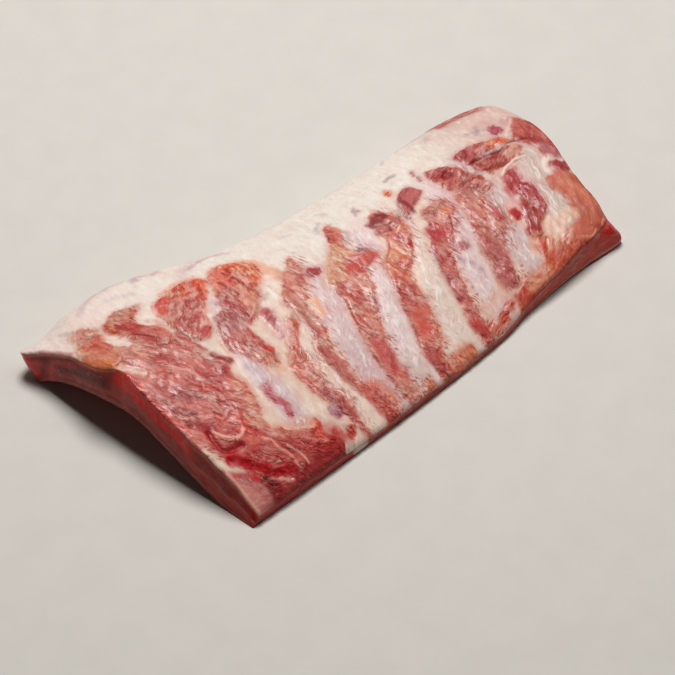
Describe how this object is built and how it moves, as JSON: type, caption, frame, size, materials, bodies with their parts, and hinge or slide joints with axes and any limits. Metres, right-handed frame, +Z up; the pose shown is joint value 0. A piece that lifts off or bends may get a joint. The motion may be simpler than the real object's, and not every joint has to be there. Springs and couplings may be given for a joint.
{
  "type": "raw pork rib rack",
  "caption": "Raw arched slab of pork ribs with pale rib bones showing between strips of meat and a band of white fat along one long edge.",
  "frame": {"origin": "centre of the bounding box, at the level of the surface the rack rests on", "axes": "+X along the rack towards its rounded end, +Y across it towards the edge with the white fat, +Z up from the resting edges"},
  "size_m": [0.3934, 0.2192, 0.054],
  "materials": {
    "meat": "moist raw meat with white fat",
    "bone": "moist rib bone under thin white skin"
  },
  "bodies": {
    "root": {"meat": "meat", "rib_bone_01": "bone", "rib_bone_02": "bone", "rib_bone_03": "bone", "rib_bone_04": "bone", "rib_bone_05": "bone", "rib_bone_06": "bone", "rib_bone_07": "bone", "rib_bone_08": "bone"}
  },
  "joints": []
}
